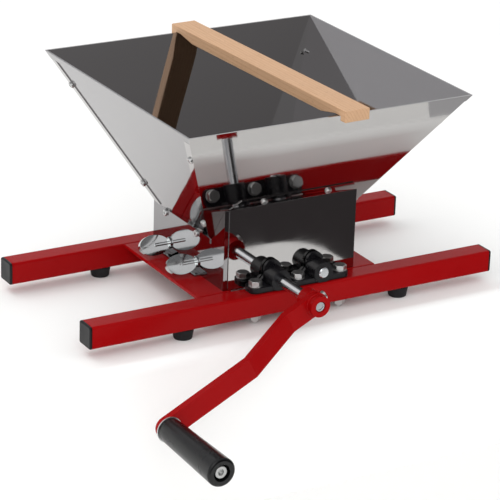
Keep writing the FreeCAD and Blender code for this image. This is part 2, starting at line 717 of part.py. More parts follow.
def right_side_panel():
    """Side sheet with gussets under the hopper and flanges behind the covers."""
    front = FRONT_Y + SHEET
    rear = REAR_Y - SHEET
    front_top = bend_height(FRONT_SLOPE, THROAT_FRONT, front) - PANEL_CLEARANCE
    rear_top = bend_height(REAR_SLOPE, THROAT_REAR, rear) - PANEL_CLEARANCE
    web = prism_x([(front, TUBE_TOP), (rear, TUBE_TOP), (rear, rear_top),
                   (THROAT_REAR + PANEL_CLEARANCE, THROAT_Z),
                   (THROAT_FRONT - PANEL_CLEARANCE, THROAT_Z), (front, front_top)],
                  PANEL_X - SHEET, PANEL_X)
    flange_x = (PANEL_X - SIDE_FLANGE, PANEL_X)
    front_flange = box(flange_x, (front, front + SHEET),
                       (TUBE_TOP, front_top - SHEET / FRONT_SLOPE))
    rear_flange = box(flange_x, (rear - SHEET, rear),
                      (TUBE_TOP, rear_top - SHEET / REAR_SLOPE))
    panel = fuse([web, front_flange, rear_flange])
    panel = panel.cut(spade_holes(0, PANEL_X + OVERRUN, BOLT_HOLE_CLEARANCE))
    return panel.cut(screw_holes(lip_screw_places()))


def right_chute():
    """Deflector sheet from the side panel down to just above a roller."""
    angle = math.radians(CHUTE_DROP_ANGLE)
    reach = OUTER_RADIUS + CHUTE_GAP
    return chute_profile(IDLE_X + reach * math.cos(angle), SHAFT_Z + reach * math.sin(angle))


def left_chute():
    angle = math.radians(CHUTE_DROP_ANGLE)
    reach = OUTER_RADIUS + CHUTE_GAP
    return mirror_x(chute_profile(reach * math.cos(angle) - DRIVE_X,
                                  SHAFT_Z + reach * math.sin(angle)))


def chute_profile(end_x, end_z):
    wall_x = PANEL_X - SHEET
    bend_z = THROAT_Z - CHUTE_FLANGE
    profile = bent_outline([(end_x, end_z), (wall_x, bend_z), (wall_x, THROAT_Z)], SHEET)
    sheet = prism_y(profile, FRONT_Y + 2 * SHEET + PANEL_CLEARANCE,
                    REAR_Y - 2 * SHEET - PANEL_CLEARANCE)
    return sheet.cut(screw_holes(lip_screw_places()))


# Hopper

def right_hopper_panel():
    """Sloped side sheet with an upright lip below and a folded hem on the rim."""
    above = RIM_Z + OVERRUN
    profile = bent_outline([(THROAT_X, LIP_Z), (THROAT_X, THROAT_Z), (side_x(above), above)],
                           SHEET)
    front_thickness = level_thickness(FRONT_SLOPE)
    rear_thickness = level_thickness(REAR_SLOPE)
    front_bend = THROAT_Z + (front_thickness - SHEET) / FRONT_SLOPE
    rear_bend = THROAT_Z + (rear_thickness - SHEET) / REAR_SLOPE
    outline = [(THROAT_FRONT + SHEET, LIP_Z), (THROAT_REAR - SHEET, LIP_Z),
               (THROAT_REAR - SHEET, rear_bend), (rear_y(RIM_Z) - rear_thickness, RIM_Z),
               (front_y(RIM_Z) + front_thickness, RIM_Z), (THROAT_FRONT + SHEET, front_bend)]
    sheet = prism_y(profile, front_y(above), rear_y(above))
    sheet = sheet.common(prism_x(outline, 0, side_x(above) + OVERRUN))
    hem_z = RIM_Z - HEM_HEIGHT
    thickness = level_thickness(SIDE_SLOPE)
    hem = prism_y([(side_x(hem_z), hem_z), (side_x(hem_z) + thickness, hem_z),
                   (side_x(RIM_Z) + thickness, RIM_Z), (side_x(RIM_Z), RIM_Z)],
                  front_y(RIM_Z), rear_y(RIM_Z))
    hem_outline = [(front_y(hem_z), hem_z), (rear_y(hem_z), hem_z),
                   (rear_y(RIM_Z), RIM_Z), (front_y(RIM_Z), RIM_Z)]
    hem = hem.common(prism_x(hem_outline, 0, side_x(above) + OVERRUN))
    panel = fuse([sheet, hem])
    return panel.cut(screw_holes(seam_screw_places() + lip_screw_places()))


def end_panel(slope, throat_y):
    """Rear hand hopper sheet with seam flanges that lap over the side sheets."""
    def outer_y(z):
        return throat_y + slope * (z - THROAT_Z)

    above = RIM_Z + OVERRUN
    side_thickness = level_thickness(SIDE_SLOPE)
    thickness = level_thickness(slope)
    lip_x = PANEL_X - 2 * SHEET - PANEL_CLEARANCE
    profile = bent_outline([(throat_y, LIP_Z), (throat_y, THROAT_Z), (outer_y(above), above)],
                           SHEET)
    outline = [(lip_x, LIP_Z), (lip_x, THROAT_Z), (THROAT_X, THROAT_Z),
               (side_x(RIM_Z), RIM_Z)]
    outline += [(-x, z) for x, z in outline[::-1]]
    sheet = prism_x(profile, -side_x(above), side_x(above))
    pieces = [sheet.common(prism_y(outline, 0, outer_y(above) + OVERRUN))]
    hem_z = RIM_Z - HEM_HEIGHT
    hem = prism_x([(outer_y(hem_z), hem_z), (outer_y(hem_z) + thickness, hem_z),
                   (outer_y(RIM_Z) + thickness, RIM_Z), (outer_y(RIM_Z), RIM_Z)],
                  -2 * side_x(RIM_Z), 2 * side_x(RIM_Z))
    hem_outline = [(side_x(hem_z) + side_thickness, hem_z),
                   (side_x(RIM_Z) + side_thickness, RIM_Z)]
    hem_outline += [(-x, z) for x, z in hem_outline[::-1]]
    pieces.append(hem.common(prism_y(hem_outline, 0, outer_y(above) + OVERRUN)))
    low_z = THROAT_Z + SEAM_START
    high_z = hem_z - PANEL_CLEARANCE
    seam = prism_y([(side_x(low_z), low_z), (side_x(low_z) + side_thickness, low_z),
                    (side_x(high_z) + side_thickness, high_z), (side_x(high_z), high_z)],
                   0, outer_y(above))
    seam_outline = [(outer_y(low_z) - SEAM_WIDTH, low_z), (outer_y(low_z), low_z),
                    (outer_y(high_z), high_z), (outer_y(high_z) - SEAM_WIDTH, high_z)]
    seam = seam.common(prism_x(seam_outline, 0, 2 * side_x(above)))
    pieces += [seam, mirror_x(seam)]
    return fuse(pieces)


def hopper_rear_panel():
    panel = end_panel(REAR_SLOPE, THROAT_REAR)
    return panel.cut(screw_holes(seam_screw_places() + cover_screw_places(1)))


def hopper_front_panel():
    panel = mirror_y(end_panel(FRONT_SLOPE, -THROAT_FRONT))
    return panel.cut(screw_holes(seam_screw_places() + cover_screw_places(-1)))


def rear_cover():
    return cover(REAR_SLOPE, THROAT_REAR, REAR_Y).cut(screw_holes(cover_screw_places(1)))


def front_cover():
    shape = mirror_y(cover(FRONT_SLOPE, -THROAT_FRONT, -FRONT_Y))
    return shape.cut(screw_holes(cover_screw_places(-1)))


# Crank, built with its arm along -X from the drive shaft, then turned down

def turned(shape):
    shape.rotate(point(DRIVE_X, 0, SHAFT_Z), Y_AXIS, -CRANK_DROP)
    return shape


def set_screw_y():
    return HUB_REAR - SET_SCREW_INSET


def crank_hub():
    hub = rod_y(HUB_RADIUS, DRIVE_X, SHAFT_Z, HUB_FRONT, HUB_REAR)
    bore = rod_y(SHAFT_RADIUS, DRIVE_X, SHAFT_Z, HUB_FRONT - OVERRUN, HUB_REAR + OVERRUN)
    hole = rod_x(SET_SCREW_RADIUS + THREAD_CLEARANCE, set_screw_y(), SHAFT_Z,
                 DRIVE_X, DRIVE_X + 2 * HUB_RADIUS)
    return turned(hub.cut([bore, hole]))


def crank_set_screw():
    shank_end = DRIVE_X + HUB_RADIUS
    shank = rod_x(SET_SCREW_RADIUS, set_screw_y(), SHAFT_Z, DRIVE_X + SHAFT_RADIUS,
                  shank_end + SET_SCREW_HEAD_HEIGHT)
    head = rod_x(SET_SCREW_HEAD_RADIUS, set_screw_y(), SHAFT_Z, shank_end,
                 shank_end + SET_SCREW_HEAD_HEIGHT)
    return turned(fuse([shank, head]))


def crank_arm():
    end_x = DRIVE_X - CRANK_RADIUS
    face = [(DRIVE_X, ARM_FACE), (DRIVE_X - ARM_BEND_START, ARM_FACE),
            (DRIVE_X - ARM_BEND_END, ARM_FACE - ARM_JOG),
            (end_x - ARM_WIDTH, ARM_FACE - ARM_JOG)]
    profile = bent_outline(face[::-1], ARM_THICKNESS)
    below = SHAFT_Z - ARM_WIDTH
    flat = prism([point(x, y, below) for x, y in profile], point(0, 0, 2 * ARM_WIDTH))
    y_range = (ARM_FACE - 2 * ARM_JOG, ARM_FACE + 2 * ARM_THICKNESS)
    bar = box((end_x, DRIVE_X), y_range, (SHAFT_Z - ARM_WIDTH / 2, SHAFT_Z + ARM_WIDTH / 2))
    nose = rod_y(ARM_WIDTH / 2, end_x, SHAFT_Z, *y_range)
    arm = flat.common(fuse([bar, nose]))
    hub = rod_y(HUB_RADIUS, DRIVE_X, SHAFT_Z, *y_range)
    bolt_hole = rod_y(BOLT_RADIUS + THREAD_CLEARANCE, end_x, SHAFT_Z, *y_range)
    return turned(arm.cut([hub, bolt_hole]))


def grip_x():
    return DRIVE_X - CRANK_RADIUS


def grip_bolt():
    recess_floor = GRIP_WASHER_FRONT - GRIP_PLAY - GRIP_LENGTH + GRIP_RECESS_DEPTH
    seat = recess_floor - GRIP_PLAY
    arm_back = ARM_FACE - ARM_JOG + ARM_THICKNESS
    head = rod_y(GRIP_HEAD_RADIUS, grip_x(), SHAFT_Z, seat - GRIP_HEAD_HEIGHT, seat)
    shoulder = rod_y(SHOULDER_RADIUS, grip_x(), SHAFT_Z, seat, GRIP_WASHER_FRONT)
    thread = rod_y(BOLT_RADIUS, grip_x(), SHAFT_Z, GRIP_WASHER_FRONT,
                   arm_back + NUT_HEIGHT + GRIP_BOLT_TAIL)
    socket = hexagon(GRIP_SOCKET_WIDTH, point(grip_x(), seat - GRIP_HEAD_HEIGHT, SHAFT_Z),
                     Y_AXIS, GRIP_SOCKET_DEPTH)
    return turned(fuse([head, shoulder, thread]).cut(socket))


def grip_washer():
    washer = rod_y(GRIP_WASHER_RADIUS, grip_x(), SHAFT_Z, GRIP_WASHER_FRONT,
                   GRIP_WASHER_FRONT + GRIP_WASHER_THICKNESS)
    hole = rod_y(BOLT_RADIUS + THREAD_CLEARANCE, grip_x(), SHAFT_Z,
                 GRIP_WASHER_FRONT - OVERRUN, GRIP_WASHER_FRONT + OVERRUN)
    return turned(washer.cut(hole))


def grip_nut():
    arm_back = ARM_FACE - ARM_JOG + ARM_THICKNESS
    nut = hexagon(BOLT_HEAD_WIDTH, point(grip_x(), arm_back, SHAFT_Z), Y_AXIS, NUT_HEIGHT)
    hole = rod_y(BOLT_RADIUS + THREAD_CLEARANCE, grip_x(), SHAFT_Z,
                 arm_back - OVERRUN, arm_back + NUT_HEIGHT + OVERRUN)
    return turned(nut.cut(hole))


def crank_grip():
    inner = GRIP_WASHER_FRONT - GRIP_PLAY
    outer = inner - GRIP_LENGTH
    half = [(0, inner), (GRIP_INNER_RADIUS - CAP_ROUNDING, inner),
            (GRIP_INNER_RADIUS, inner - CAP_ROUNDING),
            (GRIP_OUTER_RADIUS, outer + GRIP_ROUNDING)]
    arc_mid = GRIP_ROUNDING * (1 - math.cos(math.radians(45)))
    corner = (GRIP_OUTER_RADIUS - arc_mid, outer + arc_mid)
    last = (GRIP_OUTER_RADIUS - GRIP_ROUNDING, outer)
    line_points = [point(grip_x() + r, y, SHAFT_Z) for r, y in half]
    rounding = Part.Arc(line_points[-1], point(grip_x() + corner[0], corner[1], SHAFT_Z),
                        point(grip_x() + last[0], last[1], SHAFT_Z)).toShape()
    closing = Part.makePolygon([point(grip_x() + last[0], last[1], SHAFT_Z),
                                point(grip_x(), last[1], SHAFT_Z), line_points[0]])
    outline = Part.Wire(Part.makePolygon(line_points).Edges + [rounding] + closing.Edges)
    body = Part.Face(outline).revolve(point(grip_x(), 0, SHAFT_Z), Y_AXIS, 360)
    recess = rod_y(GRIP_RECESS_RADIUS, grip_x(), SHAFT_Z, outer - OVERRUN,
                   outer + GRIP_RECESS_DEPTH)
    bore = rod_y(SHOULDER_RADIUS + GRIP_CLEARANCE, grip_x(), SHAFT_Z, outer, inner + OVERRUN)
    return turned(body.cut([recess, bore]))


# Pusher

def wooden_pusher():
    """Bar notched at both ends to sit on the hopper's front and rear rims."""
    half = PUSHER_LENGTH / 2
    turn = math.radians(PUSHER_TURN)
    hem = level_thickness(max(FRONT_SLOPE, REAR_SLOPE))
    rim_reach = HOPPER_TOP_WIDTH / 2 + hem + PUSHER_NOTCH_CLEARANCE
    hook_y = (rim_reach + PUSHER_WIDTH / 2 * math.sin(turn)) / math.cos(turn)
    seat_z = RIM_Z + PUSHER_REST_GAP
    under_z = seat_z - PUSHER_NOTCH_DEPTH
    top_z = under_z + PUSHER_THICKNESS
    seat_y = hook_y - PUSHER_SEAT_LENGTH
    taper_y = seat_y - PUSHER_TAPER_LENGTH
    outline = [(-half, under_z), (-hook_y, under_z), (-hook_y, seat_z), (-seat_y, seat_z),
               (-taper_y, under_z)]
    outline += [(-y, z) for y, z in outline[::-1]]
    outline += [(half, top_z), (-half, top_z)]
    bar = prism_x(outline, -PUSHER_WIDTH / 2, PUSHER_WIDTH / 2)
    bar.rotate(point(0, 0, 0), Z_AXIS, PUSHER_TURN)
    bar.translate(point(PUSHER_OFFSET, 0, 0))
    return bar


def right_and_left(name, shape):
    return {"right_" + name: shape, "left_" + name: mirror_x(shape)}


def all_nodes():
    nodes = {
        "front_tube": frame_tube(-1),
        "rear_tube": frame_tube(1),
        "tube_end_caps": tube_end_caps(),
        "rubber_feet": at_feet(rubber_foot),
        "foot_screws": at_feet(foot_screw),
        "foot_nuts": at_feet(foot_nut),
        "weld_nuts": weld_nuts(),
        "rear_bearing_bridge": rear_bearing_bridge(),
        "front_bearing_bridge": mirror_y(rear_bearing_bridge()),
        "bearing_bolts": at_bolts(bearing_bolt),
        "bearing_washers": at_bolts(bearing_washer),
        "bearing_nuts": at_bolts(bearing_nut),
        "drive_shaft": drive_shaft(),
        "idle_shaft": stepped_shaft(IDLE_X, -(TUBE_INNER_Y + TOWER_THICKNESS + BOSS_LENGTH
                                              + SHAFT_REAR_STICKOUT)),
        "drive_roller": toothed_roller(DRIVE_X, 0),
        "idle_roller": toothed_roller(IDLE_X, 0.5),
        "drive_roller_pins": group(pin_holes(DRIVE_X, ROLLER_PIN_RADIUS)),
        "idle_roller_pins": group(pin_holes(IDLE_X, ROLLER_PIN_RADIUS)),
        "front_cover": front_cover(),
        "rear_cover": rear_cover(),
        "left_chute": left_chute(),
        "right_chute": right_chute(),
        "hopper_front_panel": hopper_front_panel(),
        "hopper_rear_panel": hopper_rear_panel(),
        "hopper_seam_screws": pan_screws(seam_screw_places(), 2 * SHEET),
        "hopper_lip_screws": pan_screws(lip_screw_places(), 3 * SHEET),
        "cover_screws": pan_screws(cover_screw_places(-1) + cover_screw_places(1), 2 * SHEET),
        "crank_hub": crank_hub(),
        "crank_arm": crank_arm(),
        "crank_set_screw": crank_set_screw(),
        "crank_grip": crank_grip(),
        "grip_bolt": grip_bolt(),
        "grip_washer": grip_washer(),
        "grip_nut": grip_nut(),
        "wooden_pusher": wooden_pusher(),
    }
    nodes.update(right_and_left("cross_plate", right_cross_plate()))
    nodes.update(right_and_left("clamp_tab", right_clamp_tab()))
    nodes.update(right_and_left("locating_strip", right_locating_strip()))
    nodes.update(right_and_left("side_panel", right_side_panel()))
    nodes.update(right_and_left("spade_screw_front",
                                right_spade_screw(SPADE_Y[0], SPADE_FRONT_TURN)))
    nodes.update(right_and_left("spade_screw_rear",
                                right_spade_screw(SPADE_Y[1], SPADE_REAR_TURN)))
    hopper_side = right_hopper_panel()
    nodes["hopper_right_panel"] = hopper_side
    nodes["hopper_left_panel"] = mirror_x(hopper_side)
    return nodes


os.makedirs("parts", exist_ok=True)
for node, shape in all_nodes().items():
    shape.exportStep("parts/" + node + ".step")
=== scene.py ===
import math

import bmesh
import bpy
from bpy.props import FloatProperty, FloatVectorProperty, IntProperty, PointerProperty
from mathutils import Matrix, Vector


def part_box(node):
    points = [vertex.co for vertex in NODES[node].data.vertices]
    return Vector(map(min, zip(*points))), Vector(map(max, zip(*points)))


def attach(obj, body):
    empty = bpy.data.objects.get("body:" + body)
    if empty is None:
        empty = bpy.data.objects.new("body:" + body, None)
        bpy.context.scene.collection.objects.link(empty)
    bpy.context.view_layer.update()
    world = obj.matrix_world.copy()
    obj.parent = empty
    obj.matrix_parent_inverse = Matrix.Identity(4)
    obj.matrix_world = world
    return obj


bl_info = {
    "name": "Apple scratter",
    "version": (1, 0, 0),
    "blender": (4, 5, 0),
    "location": "3D View > Sidebar > Scratter",
    "description": "Finishes a hand cranked apple scratter around its packed frame",
    "category": "Object",
}

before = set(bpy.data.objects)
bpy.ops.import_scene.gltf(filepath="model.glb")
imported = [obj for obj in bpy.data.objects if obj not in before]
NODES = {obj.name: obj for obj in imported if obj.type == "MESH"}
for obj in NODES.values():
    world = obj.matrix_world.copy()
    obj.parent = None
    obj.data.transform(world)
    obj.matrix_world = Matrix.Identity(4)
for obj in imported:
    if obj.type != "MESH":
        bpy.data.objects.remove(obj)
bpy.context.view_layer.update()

MM = 0.001
Y_AXIS = Vector((0, 1, 0))
Z_AXIS = Vector((0, 0, 1))

# Bearing bolts: their places, and how far their threads reach below the nuts
HOUSING_MIDDLE = 5 * MM
BOLT_SPACING = 52.72 * MM
BOLT_X = [HOUSING_MIDDLE + step * BOLT_SPACING for step in (-1, 0, 1)]
BOLT_Y = 97 * MM
BOLT_RADIUS = 4 * MM
BOLT_END = 3 * MM
BOLT_NUT = 5.3 * MM
BOLT_PITCH = 1.25 * MM
THREAD_STEPS = 28
THREAD_SIDES = 4
THREAD_SUNK = 0.45
THREAD_RUNOUT = 0.4
THREAD_TIP = 0.2

# Crank arm: how far it lies behind the hub's front face, and its thickness
ARM_SETBACK = 8 * MM
ARM_THICKNESS = 8 * MM

# Weld beads: a bead swells at each drop of the weld
BEAD_SIDES = 10
BEAD_STEP = 0.6 * MM
BEAD_RING_STEPS = 180
BEAD_STEPS_PER_DROP = 5
BEAD_LEAST_STEPS = 8
BEAD_VALLEY = 0.82

# Rounded edges: the least angle that is rounded, below that of every bend of the sheets
ROUNDED_ANGLE = math.radians(20)
FLAT_ANGLE = math.radians(0.5)
SAME_PLACE = 0.001 * MM
FLAT_FACE_WEIGHT = 80

# Noise seldom leaves this range of its values from 0 to 1
NOISE_RANGE = (0.3, 0.7)


def linear(text):
    """Turns an sRGB hex colour into linear red, green and blue with full alpha."""
    parts = [int(text[i:i + 2], 16) / 255 for i in (1, 3, 5)]
    return [v / 12.92 if v <= 0.04045 else ((v + 0.055) / 1.055) ** 2.4 for v in parts] + [1.0]


def colour(label, text, description):
    """A colour that the user can change."""
    return FloatVectorProperty(name=label, description=description, subtype="COLOR", size=4,
                               min=0.0, max=1.0, default=linear(text))


def length(label, millimetres, description):
    """A length that the user can change."""
    return FloatProperty(name=label, description=description, subtype="DISTANCE",
                         unit="LENGTH", min=0.0, precision=5, default=millimetres * MM)


class ScratterColours(bpy.types.PropertyGroup):
    """Colours of the finishes."""

    coat: colour("Powder coat", "#930609", "Red of the tubes, cross plates and crank")
    steel: colour("Stainless sheet", "#B4B2B1", "Tint of the sheets rolled from side to side")
    # Painted shade: the side sheets are the same stainless as the others, given a darker tint
    # so that their mirror image reads darker
    steel_shaded: colour("Stainless side sheet", "#949293",
                       "Tint of the sheets rolled from front to back")
    bearing: colour("Bearing plastic", "#100F12", "Black of the bearing bridges")
    cap: colour("Cap plastic", "#08080A", "Black of the tube caps")
    rubber: colour("Rubber", "#18181A", "Black of the feet")
    zinc: colour("Zinc", "#D0D1D0", "Tint of the plated bolts, washers and nuts")
    chrome: colour("Chrome", "#C9CCCC", "Tint of the spade screws")
    shaft: colour("Shaft steel", "#CBCDD0", "Tint of the ground shafts")
    roller: colour("Roller metal", "#B7B9BB", "Tint of the toothed rollers")
    grip: colour("Grip plastic", "#09090A", "Black of the crank's grip")
    wood: colour("Beech", "#C9A27F", "Main colour of the pusher's wood")
    wood_line: colour("Beech growth line", "#AE845F", "Colour of the wood's growth lines")


class ScratterSizes(bpy.types.PropertyGroup):
    """Sizes of the details that the finishing adds."""

    sheet_rounding: length("Sheet edge", 0.42, "Rounding on the cut edges of the sheets")
    bar_rounding: length("Bar edge", 0.8, "Rounding on the edges of the red flat bar")
    plastic_rounding: length("Moulded edge", 0.9, "Rounding on the edges of moulded pieces")
    metal_rounding: length("Fastener edge", 0.35, "Rounding on bolts, nuts and shafts")
    wood_rounding: length("Wood edge", 0.9, "Rounding on the edges of the pusher")
    weld: length("Weld bead", 1.5, "Half width of the weld beads")
    thread: length("Thread ridge", 0.38, "Half width of the thread's ridge on the bolts")


class ScratterStage(bpy.types.PropertyGroup):
    """The table, the backdrop and the light."""

    table: colour("Table", "#F6F6F5", "Colour of the table")
    wall: colour("Wall", "#DCDCDE", "Colour of the wall that the table runs up into")
    room: colour("Room", "#3F3B3C", "What bright metal mirrors of the room in front")
    walls: colour("Side walls", "#D6D6D8", "What bright metal mirrors beside and above")
    glow: FloatProperty(name="Soft light", description="Strength of the light from all round",
                        min=0.0, default=1.0)
    key: FloatProperty(name="Main lamp", description="Power of the large lamp above",
                       subtype="POWER", min=0.0, default=9.0)
    card: FloatProperty(name="Side card", description="Power of the lit card in front",
                        subtype="POWER", min=0.0, default=44.0)
    steps: IntProperty(name="Curve steps", description="Steps of the stage's round edges",
                       min=4, default=12)


def settings():
    """The scene's colours, sizes and stage."""
    scene = bpy.context.scene
    return scene.scratter_colours, scene.scratter_sizes, scene.scratter_stage


def add(tree, kind, inputs=None, stops=None, **options):
    """Adds a node with its settings, and links or fills in its sockets."""
    node = tree.nodes.new(kind)
    for key, value in options.items():
        setattr(node, key, value)
    for key, value in (inputs or {}).items():
        if isinstance(value, bpy.types.NodeSocket):
            tree.links.new(value, node.inputs[key])
        else:
            node.inputs[key].default_value = value
    if stops:
        band = node.color_ramp
        while len(band.elements) < len(stops):
            band.elements.new(0.5)
        for element, (place, value) in zip(band.elements, stops):
            element.position = place
            element.color = value if hasattr(value, "__len__") else (value, value, value, 1)
    return node


def surface(name, **sockets):
    """A material with its shader, and the place on the object in metres."""
    material = bpy.data.materials.new(name)
    material.use_nodes = True
    tree = material.node_tree
    shader = tree.nodes["Principled BSDF"]
    for key, value in sockets.items():
        shader.inputs[key.replace("_", " ")].default_value = value
    place = add(tree, "ShaderNodeTexCoord").outputs["Object"]
    return material, tree, place


def finished(material, **sockets):
    """The material with patterns linked to its shader's sockets."""
    tree = material.node_tree
    for key, value in sockets.items():
        tree.links.new(value, tree.nodes["Principled BSDF"].inputs[key.replace("_", " ")])
    return material


def stretched(tree, place, size, turn):
    """The place measured in steps of one size, or one for each axis, in millimetres."""
    if not hasattr(size, "__len__"):
        size = (size, size, size)
    turned = add(tree, "ShaderNodeMapping", {"Vector": place, "Rotation": turn})
    scale = tuple(1 / (step * MM) for step in size)
    return add(tree, "ShaderNodeMapping", {"Vector": turned.outputs["Vector"], "Scale": scale},
               vector_type="POINT").outputs["Vector"]


def noise(tree, place, size, detail=3.0, roughness=0.5, turn=(0, 0, 0)):
    """Cloudy value from 0 to 1 whose patches have the given size in millimetres."""
    at = stretched(tree, place, size, turn)
    return add(tree, "ShaderNodeTexNoise", {"Vector": at, "Scale": 1.0, "Detail": detail,
                                            "Roughness": roughness}).outputs["Fac"]


def between(tree, value, low, high, start=0.0, end=1.0):
    """Value mapped from the range start to end onto low to high, and kept in it."""
    return add(tree, "ShaderNodeMapRange",
               {"Value": value, "From Min": start, "From Max": end, "To Min": low,
                "To Max": high}).outputs["Result"]


def spread(tree, value, low, high):
    """Noise mapped so that its usual range covers low to high."""
    return between(tree, value, low, high, *NOISE_RANGE)


def raised(tree, height, millimetres, strength=1.0, below=None):
    """Normal of a surface with that height pattern, in millimetres from low to high."""
    inputs = {"Height": height, "Distance": millimetres * MM, "Strength": strength}
    if below is not None:
        inputs["Normal"] = below
    return add(tree, "ShaderNodeBump", inputs).outputs["Normal"]


def mixed(tree, factor, first, second):
    """Colour between two colours."""
    node = add(tree, "ShaderNodeMix", data_type="RGBA")
    for socket, value in ((node.inputs[0], factor), (node.inputs[6], first),
                          (node.inputs[7], second)):
        if isinstance(value, bpy.types.NodeSocket):
            tree.links.new(value, socket)
        else:
            socket.default_value = value
    return node.outputs[2]


def shade(value, factor):
    """A colour made lighter or darker."""
    return [min(1.0, part * factor) for part in value[:3]] + [1.0]


def powder_coat(colours):
    """Polyester powder coat, sprayed dry and baked on steel."""
    # The baked film is smooth and glossy with a faint orange peel
    material, tree, place = surface("polyester_powder_coat", IOR=1.52,
                                    Specular_IOR_Level=0.07)
    cloud = noise(tree, place, 55, detail=2)
    peel = noise(tree, place, 2.2, detail=1)
    return finished(material,
                    Base_Color=mixed(tree, cloud, shade(colours.coat, 0.92),
                                     shade(colours.coat, 1.06)),
                    Roughness=between(tree, noise(tree, place, 18), 0.18, 0.3),
                    Normal=raised(tree, peel, 0.03, 0.6))


def rolled_stainless(along, tint, line):
    """Stainless steel 1.4301 sheet, cold rolled and bright annealed."""
    # It mirrors what stands round it, a little dulled along fine rolling lines, and
    # its flat faces bulge a trifle so that the mirrored edges bend
    material, tree, place = surface("rolled_stainless_along_" + along, Metallic=1.0,
                                    Base_Color=tint)
    lines = noise(tree, place, line, detail=4, roughness=0.65)
    smudges = noise(tree, place, 38, detail=4, roughness=0.6)
    dulled = add(tree, "ShaderNodeMath",
                 {0: spread(tree, lines, -0.01, 0.012),
                  1: between(tree, smudges, 0.025, 0.06, 0.35, 0.7)},
                 operation="ADD").outputs[0]
    bulge = raised(tree, noise(tree, place, 95, detail=1), 0.5, 0.35)
    return finished(material, Roughness=dulled,
                    Normal=raised(tree, lines, 0.004, 0.5, bulge))


def moulded(name, tint, gloss, grain, depth, ior):
    """Injection moulded plastic, or moulded rubber."""
    # The mould's eroded wall leaves a fine even grain, with duller and glossier patches
    material, tree, place = surface(name, IOR=ior, Specular_IOR_Level=0.3)
    cloud = noise(tree, place, 22)
    return finished(material,
                    Base_Color=mixed(tree, cloud, shade(tint, 0.8), shade(tint, 1.25)),
                    Roughness=spread(tree, cloud, *gloss),
                    Normal=raised(tree, noise(tree, place, grain, detail=2), depth))


def plated(name, tint, gloss, patch):
    """Electroplated steel: zinc, or nickel and chrome."""
    # The plated skin follows the forged or cut steel below it, so highlights waver
    material, tree, place = surface(name, Metallic=1.0)
    cloud = noise(tree, place, patch)
    wave = noise(tree, place, 3 * patch, detail=2)
    return finished(material,
                    Base_Color=mixed(tree, cloud, shade(tint, 0.86), shade(tint, 1.06)),
                    Roughness=spread(tree, cloud, *gloss),
                    Normal=raised(tree, wave, 0.05, 0.5))


def turned_metal(name, tint, gloss, ring):
    """Bar turned or ground on its axis, which lies along Y."""
    # The tool leaves fine rings round the bar, which draw its highlight out lengthwise
    material, tree, place = surface(name, Metallic=1.0, Base_Color=tint)
    rings = noise(tree, place, (60, ring, 60), roughness=0.6)
    return finished(material, Roughness=spread(tree, rings, *gloss),
                    Normal=raised(tree, rings, 0.01, 0.5))


def growth_rings(tree, place, turn, heart, spacing, wander):
    """Value from 0 to 1 across each growth ring of a board, which lies along Y."""
    warp = noise(tree, place, (30, 260, 30), detail=2, turn=turn)
    across = add(tree, "ShaderNodeMapping",
                 {"Vector": place, "Rotation": turn, "Scale": (1, 0, 1),
                  "Location": [-part * MM for part in heart]}).outputs["Vector"]
    distance = add(tree, "ShaderNodeVectorMath", {0: across},
                   operation="LENGTH").outputs["Value"]
    shifted = add(tree, "ShaderNodeMath", {0: warp, 1: wander * MM, 2: distance},
                  operation="MULTIPLY_ADD").outputs[0]
    ring = add(tree, "ShaderNodeMath", {0: shifted, 1: spacing * MM},
               operation="DIVIDE").outputs[0]
    return add(tree, "ShaderNodeMath", {0: ring}, operation="FRACT").outputs[0]


def planed_beech(colours):
    """Steamed beech, sawn along the grain and planed."""
    # Pale pinkish brown with faint growth lines and short dark flecks along the bar,
    # and the growth rings cut across as slanting lines on its ends
    material, tree, place = surface("planed_beech", IOR=1.5)
    turn = (0, 0, math.radians(-2))
    rings = growth_rings(tree, place, turn, heart=(-62, 0, 196), spacing=3.4, wander=7)
    late = add(tree, "ShaderNodeValToRGB", {"Fac": rings},
               stops=[(0.0, 0.0), (0.62, 0.12), (0.9, 0.75), (1.0, 0.0)]).outputs["Color"]
    fibre = noise(tree, place, (0.9, 42, 0.9), roughness=0.6, turn=turn)
    streak = noise(tree, place, (14, 190, 14), detail=2, turn=turn)
    fleck = noise(tree, place, (0.8, 4.5, 0.8), detail=1, turn=turn)
    grain = mixed(tree, 0.45, late, spread(tree, fibre, 0.0, 1.0))
    base = mixed(tree, grain, shade(colours.wood, 1.04), colours.wood_line)
    base = mixed(tree, between(tree, streak, 0.0, 0.35, 0.4, 0.75), base,
                 shade(colours.wood, 0.8))
    base = mixed(tree, between(tree, fleck, 0.0, 0.5, 0.66, 0.74), base,
                 shade(colours.wood_line, 0.62))
    return finished(material, Base_Color=base, Roughness=between(tree, fibre, 0.5, 0.68),
                    Normal=raised(tree, fibre, 0.05, 0.5))


